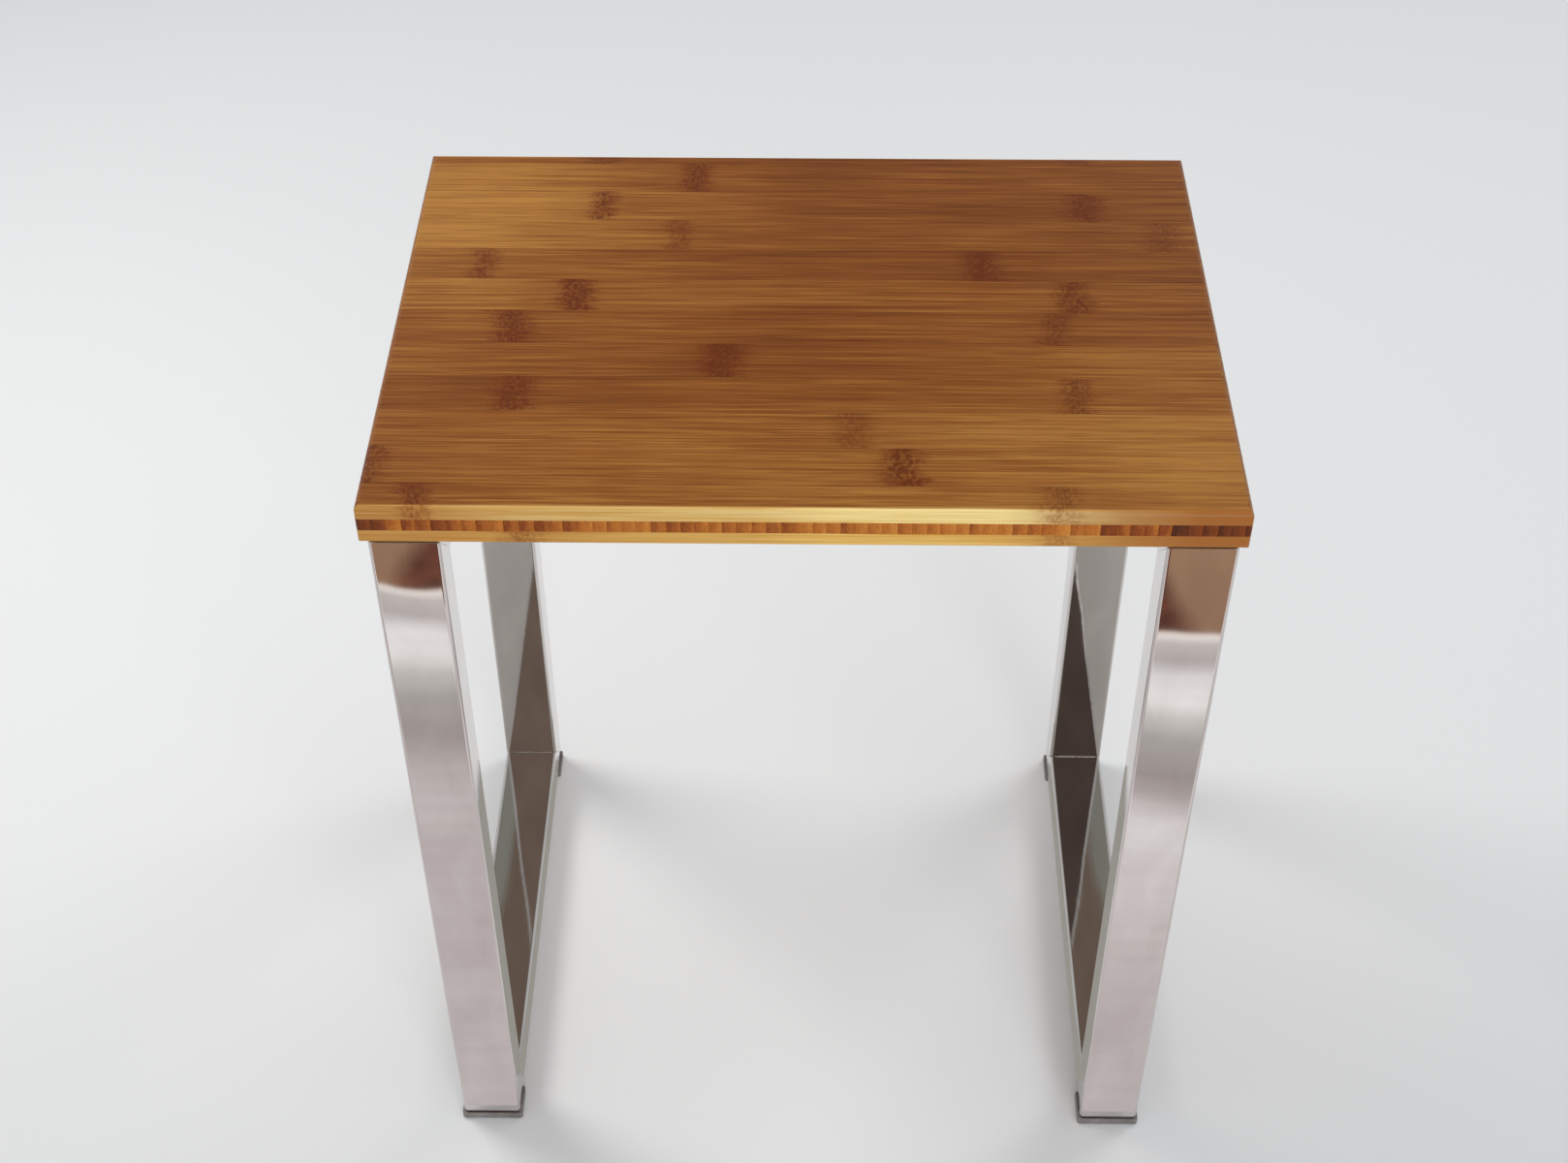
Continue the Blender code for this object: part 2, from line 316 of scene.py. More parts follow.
# How far the front and back edges turn amber as painted shade, from the left end (0) to the right end (1):
# darker towards both ends, where less light fell, palest in the middle
PAINTED_SHADE_ALONG_EDGE = (
    (0.08, 0.60),
    (0.16, 0.44),
    (0.30, 0.32),
    (0.44, 0.27),
    (0.53, 0.03),
    (0.72, 0.03),
    (0.86, 0.80),
    (0.94, 1.0),
)
TOP_PALETTE = {
    "dark": colour(94, 43, 6),
    "middle": colour(131, 75, 24),
    "light": colour(171, 119, 52),
    # The side colours here and in the bottom palette are partly painted light: made paler for the front lamp
    # that lit the front edge
    "side": colour(234, 188, 100),
    "bright_side": colour(252, 228, 154),
    "end": colour(168, 112, 54),
}
BOTTOM_PALETTE = {
    "dark": colour(128, 76, 26),
    "middle": colour(172, 116, 50),
    "light": colour(204, 152, 78),
    "side": colour(218, 162, 70),
    "bright_side": colour(240, 198, 108),
    "end": colour(172, 116, 56),
}


def knot_band(made, place, where, seed):
    """The dark band of one knot: ragged and flecked, with a broken line along each rim."""
    sway = made.noise(place, (8, 75, 75), 1.0, seed + 2)
    ragged = made.noise(place, (70, 560, 560), 3.0, seed)
    flecks = made.noise(place, (620, 460, 460), 3.0, seed + 9)
    broken = made.noise(place, (160, 260, 260), 1.0, seed + 13)
    wander = made.varied(made.varied(-where, sway, 0.012), ragged, 0.017)
    reach = made.math("ABSOLUTE", made.math("ADD", made.split(place)[0], wander))
    width = KNOT_REACH + 0.0022 * math.sin(3 * seed)
    band = made.ramp(made.math("DIVIDE", reach, width), (0.14, 1.0), (0.48, 0.62), (0.98, 0.0))
    band = made.math("MULTIPLY", band, made.ramp(flecks, (0.38, 1.0), (0.62, 0.34)))
    rim = made.math("ABSOLUTE", made.math("SUBTRACT", reach, KNOT_RIM))
    line = made.ramp(made.math("DIVIDE", rim, RIM_WIDTH), (0.10, 1.0), (0.42, 0.0))
    line = made.math("MULTIPLY", line, made.ramp(broken, (0.44, 0.0), (0.56, 0.9)))
    return made.math("MAXIMUM", band, line)


def knot_smear(made, place, where, seed):
    """The darker fibres that run out from a knot to both sides."""
    fibres = made.noise(place, (24, 800, 800), 2.0, seed + 5)
    off_centre = 0.012 * math.sin(seed)
    spread = made.math("ABSOLUTE", made.math("ADD", made.split(place)[0], off_centre - where))
    smear = made.ramp(made.math("DIVIDE", spread, SMEAR_REACH), (0.1, 1.0), (1.0, 0.0))
    return made.math("MULTIPLY", smear, made.ramp(fibres, (0.38, 0.1), (0.64, 1.0)))


def flat_colour(made, place, grain, seed, palette):
    """The face of a strip: its grain, some reddish fibres and fine dark pores."""
    red = made.noise(place, (10, 640, 640), 2.0, seed + 53)
    pores = made.noise(place, (45, 2600, 2600), 1.0, seed + 41)
    flat = made.ramp(grain, (0.06, palette["dark"]), (0.46, palette["middle"]), (0.90, palette["light"]))
    flat = made.mix(made.ramp(red, (0.52, 0.0), (0.68, 0.26)), flat, RED_FIBRE)
    return made.mix(made.ramp(pores, (0.58, 0.0), (0.72, 0.5)), flat, palette["dark"])


def sawn_end(made, place, base, seed, palette):
    """Adds the dotted end grain on the left and right edges of the board."""
    dots = made.math("MULTIPLY_ADD", made.noise(place, (900, 900, 900), 3.0, seed + 47), 0.9, -0.05)
    end_grain = made.ramp(dots, (0.2, palette["dark"]), (0.55, palette["end"]), (0.8, palette["side"]))
    faces_out = made.ramp(made.facing(0), (0.35, 0.0), (0.75, 1.0))
    at_end = made.outside(0, board[1].x - TOP_ROUNDING)
    return made.mix(made.math("MULTIPLY", faces_out, at_end), base, end_grain)


def sawn_side_and_painted_light(made, base, grain, part, palette):
    """Adds the paler sawn side of a strip at the front or back edge, partly its own colour and partly painted
    light: made paler for the front lamp that lit it, and pale from early on the rounded edge as a painted
    highlight. Gives the knots' shade as well.
    """
    light, side, bright = (palette[name] for name in ("light", "side", "bright_side"))
    edge_grain = made.ramp(grain, (0.02, light), (0.40, side), (0.80, bright))
    # painted shade: amber towards both ends of the edge, where less light fell along it
    edge_grain = made.mix(made.ramp(part, *PAINTED_SHADE_ALONG_EDGE), edge_grain, PAINTED_EDGE_SHADE)
    # painted highlight: the side colour begins where the rounded top edge starts to turn
    faces_out = made.ramp(made.facing(1), (0.22, 0.0), (0.45, 1.0))
    sawn = made.math("MULTIPLY", faces_out, made.outside(1, board[1].y - TOP_ROUNDING))
    return made.mix(sawn, base, edge_grain), made.mix(sawn, KNOT_SHADE, EDGE_KNOT_SHADE)


def bamboo(name, tones, knots, seed, at_edge, palette):
    """Flat-laid bamboo: long fibres along X, with a knot wherever the culm had one. A strip at the front
    or back edge of the board also shows its paler sawn side, which is partly painted light."""
    made = Surface(name)
    made.set({"Coat Weight": 0.12, "Coat Roughness": 0.14, "Specular IOR Level": 0.26})
    place = made.place()
    part = made.math("MULTIPLY_ADD", made.split(place)[0], 1 / (board[1].x - board[0].x), 0.5)
    threads = made.noise(place, (20, 1750, 1750), 3.0, seed)
    strands = made.noise(place, (8, 560, 560), 2.0, seed + 11)
    bands = made.noise(place, (3.5, 110, 110), 1.0, seed + 23)
    cloud = made.noise(place, (16, 34, 34), 2.0, seed + 31)
    # The strip's tones along its length; on the top they hold painted light as well as the strip's own tone.
    grain = made.ramp(part, (0.08, tones[0]), (0.5, tones[1]), (0.9, tones[2]))
    for pattern, spread in ((threads, 1.20), (strands, 0.50), (bands, 0.24), (cloud, 0.24)):
        grain = made.varied(grain, pattern, spread)
    base = sawn_end(made, place, flat_colour(made, place, grain, seed, palette), seed, palette)
    shade = KNOT_SHADE
    if at_edge:
        base, shade = sawn_side_and_painted_light(made, base, grain, part, palette)
    height = threads
    for number, (where, strength) in enumerate(knots):
        knot_seed = seed + 3.1 * number
        burnt = knot_band(made, place, where, knot_seed)
        smear = knot_smear(made, place, where, knot_seed)
        base = made.mix(made.math("MULTIPLY", smear, 0.44 * strength), base, shade)
        base = made.mix(made.math("MULTIPLY", burnt, 1.45 * strength), base, shade)
        height = made.math("SUBTRACT", height, made.math("MULTIPLY", burnt, 0.8))
    roughness = made.math("MULTIPLY_ADD", strands, 0.16, 0.30)
    return made.finish(base, roughness, made.bump(height, 0.00006, 0.5))


def core_bamboo():
    """The cross-laid core: end grain on the front and back edges, long grain on the left and right."""
    made = Surface("core_bamboo")
    made.set({"Coat Weight": 0.04, "Coat Roughness": 0.2, "Specular IOR Level": 0.18})
    place = made.place()
    pores = made.noise(place, (1500, 12, 1500), 2.0, 3.0)
    streaks = made.noise(place, (700, 9, 160), 2.0, 8.0)
    tone = made.attribute("tone")
    for pattern, spread in ((pores, 0.34), (streaks, 0.30), (made.attribute("across"), 0.20)):
        tone = made.varied(tone, pattern, spread)
    base = made.ramp(
        tone,
        (0.0, colour(72, 32, 10)),
        (0.36, colour(136, 63, 13)),
        (0.62, colour(187, 108, 32)),
        (1.0, colour(222, 152, 64)),
    )
    roughness = made.math("MULTIPLY_ADD", pores, 0.2, 0.34)
    return made.finish(base, roughness, made.bump(pores, 0.00005, 0.5))


def polished_steel():
    """Mirror-polished tube: faint waves from rolling, buffing lines along Z, and wiped water marks."""
    made = Surface("polished_steel", metallic=1.0)
    place = made.place()
    marks = made.noise(place, (55, 55, 22), 4.0, 2.0, 0.4)
    lines = made.noise(place, (2600, 2600, 14), 2.0, 6.0)
    waves = made.noise(place, (26, 26, 11), 1.0, 9.0)
    base = made.ramp(marks, (0.30, colour(210, 205, 203)), (0.70, colour(221, 217, 215)))
    shine = made.math("MULTIPLY_ADD", marks, 0.035, 0.004)
    roughness = made.math("ADD", shine, made.math("MULTIPLY", lines, 0.02))
    waved = made.bump(waves, 0.00016)
    return made.finish(base, roughness, made.bump(lines, 0.000002, 1.0, waved))


def weld_steel():
    """A bead left as welded: ripples, straw and blue heat colours under the polish."""
    made = Surface("weld_steel", metallic=1.0)
    place = made.place()
    heat = made.noise(place, (300, 300, 300), 2.0, 4.0)
    grit = made.noise(place, (2500, 2500, 2500), 2.0, 5.0)
    straw, bare, blue = colour(120, 108, 94), colour(160, 154, 146), colour(118, 120, 128)
    base = made.ramp(heat, (0.3, straw), (0.5, bare), (0.7, blue))
    roughness = made.math("MULTIPLY_ADD", grit, 0.25, 0.12)
    return made.finish(base, roughness, made.bump(grit, 0.00004, 0.5))


def screw_steel():
    """Plain screws and washers: turning marks and a thin dull film."""
    made = Surface("screw_steel", metallic=1.0)
    place = made.place()
    film = made.noise(place, (260, 260, 260), 3.0, 7.0)
    turned = made.noise(place, (900, 900, 6000), 2.0, 8.0)
    base = made.ramp(film, (0.3, colour(150, 149, 147)), (0.7, colour(196, 195, 192)))
    roughness = made.math("MULTIPLY_ADD", turned, 0.22, 0.20)
    return made.finish(base, roughness, made.bump(turned, 0.00002, 0.6))


def foot_plastic():
    """Moulded grey plastic with a fine spark texture and scuffs."""
    made = Surface("foot_plastic")
    place = made.place()
    spark = made.noise(place, (3200, 3200, 3200), 2.0, 2.0)
    scuffs = made.noise(place, (220, 220, 220), 3.0, 5.0)
    base = made.ramp(scuffs, (0.3, colour(112, 107, 105)), (0.7, colour(142, 136, 134)))
    roughness = made.math("MULTIPLY_ADD", scuffs, 0.25, 0.38)
    return made.finish(base, roughness, made.bump(spark, 0.00006, 0.5))


def foot_foam():
    """Dark adhesive foam, open-celled at its cut edge. Its dark edge where pad and tube meet is partly
    painted shade, for the shade in that gap.
    """
    made = Surface("foot_foam")
    place = made.place()
    cells = made.noise(place, (1800, 1800, 1800), 2.0, 6.0)
    # partly painted shade: this dark colour makes the dark line where the pad meets the tube
    base = made.ramp(cells, (0.3, colour(38, 28, 24)), (0.7, colour(78, 60, 52)))
    roughness = made.math("MULTIPLY_ADD", cells, 0.15, 0.78)
    return made.finish(base, roughness, made.bump(cells, 0.00015, 0.8))


# ---------------------------------------------------------------- mesh tools


def box_of(*nodes):
    """Lowest and highest corner of several CAD nodes together."""
    corners = [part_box(node) for node in nodes]
    low = Vector([min(c[0][axis] for c in corners) for axis in range(3)])
    high = Vector([max(c[1][axis] for c in corners) for axis in range(3)])
    return low, high


def box_shape(size, middle=(0, 0, 0)):
    shape = bmesh.new()
    bmesh.ops.create_cube(shape, size=1.0)
    bmesh.ops.scale(shape, vec=Vector(size), verts=shape.verts)
    bmesh.ops.translate(shape, vec=Vector(middle), verts=shape.verts)
    return shape


def round_edges(shape, chosen, radius, flats):
    edges = [edge for edge in shape.edges if chosen(edge.verts[0].co, edge.verts[1].co)]
    bmesh.ops.bevel(shape, geom=edges, offset=radius, segments=flats, profile=0.5, affect="EDGES")


def along(axis, least):
    """Picks the edges that run along an axis for at least this far."""
    return lambda a, b: abs(a[axis] - b[axis]) > least


def slice_off(shape, point, outward, bevel=0.0):
    """Cuts away what lies beyond a plane, closes the cut and softens its rim."""
    geometry = shape.verts[:] + shape.edges[:] + shape.faces[:]
    cut = bmesh.ops.bisect_plane(
        shape, geom=geometry, dist=1e-7, plane_co=point, plane_no=outward, clear_outer=True
    )
    rim = [item for item in cut["geom_cut"] if isinstance(item, bmesh.types.BMEdge)]
    if not rim:
        return
    bmesh.ops.holes_fill(shape, edges=rim)
    if bevel:
        bmesh.ops.bevel(shape, geom=rim, offset=bevel, segments=1, affect="EDGES")


def mesh_from(shape, name):
    bmesh.ops.recalc_face_normals(shape, faces=shape.faces)
    mesh = bpy.data.meshes.new(name)
    shape.to_mesh(mesh)
    shape.free()
    return mesh


def smooth(made, angle=35):
    """Smooth shading that keeps flat faces flat and edges sharper than the angle crisp."""
    made.data.shade_smooth()
    made.data.set_sharp_from_angle(angle=math.radians(angle))
    weighted = made.modifiers.new("weighted", "WEIGHTED_NORMAL")
    weighted.keep_sharp = True
    weighted.weight = 100


def add_piece(name, mesh, surface, nodes=(), place=(0, 0, 0), turn=(0, 0, 0)):
    """Puts a finished mesh into the scene as a piece of the object."""
    made = bpy.data.objects.new(name, mesh)
    bpy.context.scene.collection.objects.link(made)
    made.location = place
    made.rotation_euler = Euler(turn)
    mesh.materials.clear()
    mesh.materials.append(surface)
    smooth(made)
    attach(made, "root")
    if nodes:
        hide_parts(*nodes)
    return made


def temporary(name, shape):
    made = bpy.data.objects.new(name, mesh_from(shape, name))
    bpy.context.scene.collection.objects.link(made)
    return made


def combined(first, others, operation):
    """The mesh of one temporary object after Booleans with the others. All of them are removed."""
    for other in others:
        modifier = first.modifiers.new(other.name, "BOOLEAN")
        modifier.operation = operation
        modifier.solver = "EXACT"
        modifier.object = other
    bpy.context.view_layer.update()
    graph = bpy.context.evaluated_depsgraph_get()
    mesh = bpy.data.meshes.new_from_object(first.evaluated_get(graph))
    for made in (first, *others):
        bpy.data.objects.remove(made)
    return mesh


# ---------------------------------------------------------------- the board


def board_section(axis, size, middle):
    """The board's rounded section, drawn out along one axis."""
    stretched = Vector(size)
    stretched[axis] += 2 * SPARE
    shape = box_shape(stretched, middle)
    runs = along(axis, size[axis] / 2)
    round_edges(shape, lambda a, b: runs(a, b) and a.z > middle[2], TOP_ROUNDING, 8)
    round_edges(shape, lambda a, b: runs(a, b) and a.z < middle[2], BOTTOM_ROUNDING, 4)
    return shape


def board_layer(low, high):
    """One layer of the finished board, between two heights."""
    floor_of_board, top_of_board = board[0].z, board[1].z
    size = board[1] - board[0]
    middle = (board[0] + board[1]) / 2
    plan = box_shape(size, middle)
    round_edges(plan, along(2, size.z / 2), CORNER_ROUNDING, 6)
    sections = [temporary(f"section_{axis}", board_section(axis, size, middle)) for axis in (0, 1)]
    mesh = combined(temporary("plan", plan), sections, "INTERSECT")
    shape = bmesh.new()
    shape.from_mesh(mesh)
    bpy.data.meshes.remove(mesh)
    bmesh.ops.remove_doubles(shape, verts=shape.verts, dist=1e-6)
    if high < top_of_board - HALF_GAP:
        slice_off(shape, (0, 0, high), (0, 0, 1))
    if low > floor_of_board + HALF_GAP:
        slice_off(shape, (0, 0, low), (0, 0, -1))
    return shape


def add_strips(ply, knots, tones, low, high, palette):
    """One piece for each strip of an outer ply, cut from the finished layer."""
    layer = board_layer(low, high)
    count = len(knots)
    for index in range(count):
        node = f"seat_{ply}_strip_{index + 1:02d}"
        strip_low, strip_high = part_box(node)
        shape = layer.copy()
        if index > 0:
            slice_off(shape, (0, strip_high.y + HALF_GAP, 0), (0, 1, 0), JOINT_BEVEL)
        if index < count - 1:
            slice_off(shape, (0, strip_low.y - HALF_GAP, 0), (0, -1, 0), JOINT_BEVEL)
        middle = Vector((0, (strip_low.y + strip_high.y) / 2, (low + high) / 2))
        bmesh.ops.translate(shape, vec=-middle, verts=shape.verts)
        seed = 17.0 * index + len(ply)
        at_edge = index in (0, count - 1)
        number = f"{index + 1:02d}"
        surface = bamboo(f"bamboo_{ply}_{number}", tones[index], knots[index], seed, at_edge, palette)
        add_piece(f"{ply}_strip_{number}", mesh_from(shape, node), surface, [node], middle)
    layer.free()


def core_tone(place, chance):
    """How light one block of the core is."""
    tone = 0.57 + 0.40 * place + chance.uniform(-0.10, 0.10)
    for start, end, darker in DARK_CORE:
        if start < place < end:
            tone -= darker
    return tone


def add_core(low, high):
    """The core's blocks, side by side across the board, as one piece."""
    chance = random.Random(5)
    layer = board_layer(low, high)
    joined = bmesh.new()
    tone_layer = joined.verts.layers.float.new("tone")
    across_layer = joined.verts.layers.float.new("across")
    left = board[0].x
    while left < board[1].x - 0.001:
        right = left + chance.uniform(*CORE_BLOCK_WIDTHS)
        if board[1].x - right < CORE_BLOCK_WIDTHS[0] / 2:
            right = board[1].x
        block = layer.copy()
        if left > board[0].x:
            slice_off(block, (left, 0, 0), (-1, 0, 0), JOINT_BEVEL)
        if right < board[1].x:
            slice_off(block, (right, 0, 0), (1, 0, 0), JOINT_BEVEL)
        tone = core_tone((left + right) / 2, chance)
        new = {vert: joined.verts.new(vert.co) for vert in block.verts}
        for vert, copy in new.items():
            copy[tone_layer] = tone
            copy[across_layer] = (vert.co.x - left) / (right - left)
        for face in block.faces:
            joined.faces.new([new[vert] for vert in face.verts])
        block.free()
        left = right
    layer.free()
    middle = Vector((0, 0, (low + high) / 2))
    bmesh.ops.translate(joined, vec=-middle, verts=joined.verts)
    mesh = mesh_from(joined, "core")
    add_piece("core_blocks", mesh, core_bamboo(), ["seat_core_ply"], middle)


def add_board():
    core_low, core_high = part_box("seat_core_ply")
    joint_low = core_low.z - HALF_GAP
    joint_high = core_high.z + HALF_GAP
    add_strips("top", TOP_KNOTS, TOP_TONES_AND_PAINTED_LIGHT, joint_high, board[1].z, TOP_PALETTE)
    add_strips("bottom", BOTTOM_KNOTS, BOTTOM_TONES, board[0].z, joint_low, BOTTOM_PALETTE)
    add_core(joint_low, joint_high)


# ---------------------------------------------------------------- the frames


def tube_mesh(name, width, depth, length):
    """A tube along Z with rounded corners, mitred at both ends so that its +Y face is the short one."""
    shape = box_shape((width, depth, length + SPARE))
    round_edges(shape, along(2, length / 2), TUBE_ROUNDING, 6)
    for end in (-1, 1):
        corner = Vector((0, -depth / 2, end * (length / 2 - MITRE_BEVEL)))
        slice_off(shape, corner, Vector((0, 1, end)).normalized(), MITRE_BEVEL)
    return mesh_from(shape, name)


def bead_mesh(length):
    """A small weld bead along X, with the ripples that the torch leaves."""
    shape = bmesh.new()
    steps = BEAD_RIPPLES * 6
    sides = 12
    rings = []
    for step in range(steps + 1):
        part = step / steps
        taper = math.sqrt(max(0.0, 1 - (2 * part - 1) ** 10))
        ripple = 1 + 0.10 * math.cos(2 * math.pi * BEAD_RIPPLES * part)
        radius = BEAD_RADIUS * ripple * max(taper, 0.05)
        x = (part - 0.5) * length
        ring = []
        for side in range(sides):
            turn = 2 * math.pi * side / sides
            ring.append(shape.verts.new((x, radius * math.cos(turn), radius * math.sin(turn))))
        rings.append(ring)
    for ring, following in zip(rings, rings[1:]):
        for side in range(sides):
            after = (side + 1) % sides
            shape.faces.new((ring[side], following[side], following[after], ring[after]))
    shape.faces.new(rings[0])
    shape.faces.new(list(reversed(rings[-1])))
    return mesh_from(shape, "weld_bead")


def add_frame(side, steel, weld):
    """One loop of four mitred tubes, and a bead in each of its inner corners."""
    members = [f"{side}_{name}" for name in ("front_leg", "rear_leg", "bottom_rail", "top_rail")]
    low, high = box_of(*members)
    middle = (low + high) / 2
    width = high.x - low.x
    tube_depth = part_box(members[2])[1].z - low.z
    height, span = high.z - low.z, high.y - low.y
    half_turn, quarter = math.pi, math.pi / 2
    out = (span - tube_depth) / 2
    up = (height - tube_depth) / 2
    leg = tube_mesh("leg", width, tube_depth, height)
    rail = tube_mesh("rail", width, tube_depth, span)
    for node, mesh, offset, turn in (
        (members[0], leg, (0, -out, 0), (0, 0, 0)),
        (members[1], leg.copy(), (0, out, 0), (0, 0, half_turn)),
        (members[2], rail, (0, 0, -up), (quarter, 0, 0)),
        (members[3], rail.copy(), (0, 0, up), (-quarter, 0, 0)),
    ):
        add_piece(f"{node}_tube", mesh, steel, [node], middle + Vector(offset), turn)
    inner_y, inner_z = span / 2 - tube_depth, height / 2 - tube_depth
    for way_y, end in ((-1, "front"), (1, "rear")):
        for way_z, level in ((-1, "lower"), (1, "upper")):
            corner = middle + Vector((0, way_y * inner_y, way_z * inner_z))
            mesh = bead_mesh(width - 2 * TUBE_ROUNDING)
            add_piece(f"{side}_{end}_{level}_weld", mesh, weld, place=corner)


# ---------------------------------------------------------------- screws, washers and feet


def lathe(profile, sides=48):
    """A closed solid of revolution about Z, from (radius, height) points that start and end on the axis."""
    shape = bmesh.new()
    rings = []
    for radius, height in profile:
        if radius == 0:
            rings.append([shape.verts.new((0, 0, height))])
            continue
        turns = [2 * math.pi * side / sides for side in range(sides)]
        rings.append([shape.verts.new((radius * math.cos(t), radius * math.sin(t), height)) for t in turns])
    for ring, following in zip(rings, rings[1:]):
        for side in range(sides):
            after = (side + 1) % sides
            corners = [ring[side % len(ring)], ring[after % len(ring)]]
            corners += [following[after % len(following)], following[side % len(following)]]
            shape.faces.new(list(dict.fromkeys(corners)))
    return shape


def screw_mesh(length):
    """A pan-head screw pointing up, with its origin where the head meets the washer."""
    profile = [(0, length), (SHANK_RADIUS * 0.2, length - 0.0002), (CORE_RADIUS, length - POINT_LENGTH)]
    for turn in range(int((length - UNTHREADED) / THREAD_PITCH)):
        height = length - POINT_LENGTH - turn * THREAD_PITCH
        profile.append((CREST_RADIUS, height - 0.50 * THREAD_PITCH))
        profile.append((CORE_RADIUS, height - 0.85 * THREAD_PITCH))
    profile += [(CORE_RADIUS, 0), (HEAD_RADIUS - HEAD_BEVEL, 0), (HEAD_RADIUS, -HEAD_BEVEL)]
    for step in range(DOME_STEPS + 1):
        turn = math.pi / 2 * step / DOME_STEPS
        radius = 0 if step == DOME_STEPS else HEAD_RADIUS * math.cos(turn)
        profile.append((radius, -HEAD_SIDE - (HEAD_HEIGHT - HEAD_SIDE) * math.sin(turn)))
    blank = temporary("screw", lathe(profile))
    slots = []
    for name, size in (("slot_a", (RECESS_SPAN, RECESS_WIDTH)), ("slot_b", (RECESS_WIDTH, RECESS_SPAN))):
        slots.append(temporary(name, box_shape((*size, 2 * RECESS_DEPTH), (0, 0, -HEAD_HEIGHT))))
    return combined(blank, slots, "DIFFERENCE")


def washer_mesh(inner, outer, thickness):
    edge = WASHER_BEVEL
    profile = [
        (inner, edge),
        (inner + edge, 0),
        (outer - edge, 0),
        (outer, edge),
        (outer, thickness - edge),
        (outer - edge, thickness),
        (inner + edge, thickness),
        (inner, thickness - edge),
        (inner, edge),
    ]
    shape = lathe(profile)
    bmesh.ops.remove_doubles(shape, verts=shape.verts, dist=1e-7)
    return mesh_from(shape, "washer")


def add_fasteners(side, steel):
    for end in ENDS:
        screw_node, washer_node = f"{side}_{end}_seat_screw", f"{side}_{end}_screw_washer"
        low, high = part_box(screw_node)
        middle = (low + high) / 2
        head_top = low.z + HEAD_HEIGHT
        place = (middle.x, middle.y, head_top)
        mesh = screw_mesh(high.z - head_top)
        add_piece(f"{side}_{end}_screw", mesh, steel, [screw_node], place)
        low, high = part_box(washer_node)
        mesh = washer_mesh(SHANK_RADIUS + WASHER_CLEARANCE, (high.x - low.x) / 2, high.z - low.z)
        place = ((low.x + high.x) / 2, (low.y + high.y) / 2, low.z)
        add_piece(f"{side}_{end}_washer", mesh, steel, [washer_node], place)


def rim_edges(shape, height):
    """The outer edges of a pad's top and underside."""
    def on_rim(edge):
        first, second = (vert.co.z for vert in edge.verts)
        level = abs(abs(first) - height) < 1e-6 and abs(first - second) < 1e-6
        return level and any(abs(face.normal.z) < 0.5 for face in edge.link_faces)

    return [edge for edge in shape.edges if on_rim(edge)]


def pad_mesh(size):
    """A foot pad: rounded sides, a stepped lip round its top and three grooves across its underside."""
    shape = box_shape(size)
    round_edges(shape, along(2, size.z / 2), FOOT_CORNER, 5)
    top = [face for face in shape.faces if face.normal.z > 0.9]
    bmesh.ops.inset_region(shape, faces=top, thickness=PAD_LIP)
    for vert in top[0].verts:
        vert.co.z -= PAD_STEP
    rims = rim_edges(shape, size.z / 2)
    bmesh.ops.bevel(shape, geom=rims, offset=PAD_RIM, segments=3, profile=0.5, affect="EDGES")
    grooves = []
    for number in (-1, 0, 1):
        cutter = (size.x * 0.8, GROOVE_WIDTH, 2 * GROOVE_DEPTH)
        groove = box_shape(cutter, (0, number * size.y / 4, -size.z / 2))
        grooves.append(temporary(f"groove_{number}", groove))
    return combined(temporary("pad", shape), grooves, "DIFFERENCE")


def add_feet(side, plastic, foam):
    for end in ENDS:
        node = f"{side}_{end}_foot_pad"
        low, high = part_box(node)
        middle = (low + high) / 2
        add_piece(f"{side}_{end}_pad", pad_mesh(high - low), plastic, [node], middle)
        node = f"{side}_{end}_foot_tape"
        low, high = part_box(node)
        thickened = high - low + Vector((0, 0, HALF_GAP))  # to close part of the gaps above and below it
        shape = box_shape(thickened)
        round_edges(shape, along(2, (high - low).z / 2), FOOT_CORNER, 4)
        round_edges(shape, lambda a, b: abs(a.z - b.z) < 1e-6 and abs(a.z) > 1e-5, TAPE_RIM, 1)
        add_piece(f"{side}_{end}_tape", mesh_from(shape, "tape"), foam, [node], (low + high) / 2)


# ---------------------------------------------------------------- camera, floor and light


def add_camera():
    """Above the front of the stool and looking down at it, as the photographer stood."""
    camera = bpy.data.objects.new("camera", bpy.data.cameras.new("camera"))
    bpy.context.scene.collection.objects.link(camera)
    camera.data.sensor_width = 36
    camera.data.lens = CAMERA_LENS
    heading = Matrix.Rotation(math.radians(CAMERA_HEADING), 4, "Z")
    tilt = Matrix.Rotation(math.radians(90 - CAMERA_DOWN), 4, "X")
    roll = Matrix.Rotation(math.radians(CAMERA_ROLL), 4, "Z")
    camera.matrix_world = Matrix.Translation(CAMERA_PLACE) @ heading @ tilt @ roll
    bpy.context.scene.camera = camera


def floor_surface():
    made = Surface("pale_floor", roughness=0.6)
    made.set({"Base Color": colour(229, 230, 232), "Specular IOR Level": 0.0})
    return made.material


def glowing(name, strength=1.0):
    """A card's surface, which gives off light of its own and takes none."""
    made = Surface(name)
    made.set({"Base Color": (0, 0, 0, 1), "Specular IOR Level": 0.0, "Emission Strength": strength})
    return made


def plain_card(name, shade):
    made = glowing(name)
    made.set({"Emission Color": shade})
    return made.material


def add_flat(name, corners, surface):
    """A flat piece of the studio."""
    mesh = bpy.data.meshes.new(name)
    mesh.from_pydata(corners, [], [tuple(range(len(corners)))])
    mesh.materials.append(surface)
    made = bpy.data.objects.new(name, mesh)
    bpy.context.scene.collection.objects.link(made)
    return made


def add_card(name, corners, surface):
    """A glowing studio card that only the polished steel and the varnish see: a painted reflection."""
    made = add_flat(name, corners, surface)
    made.visible_camera = False
    made.visible_diffuse = False
    made.visible_shadow = False


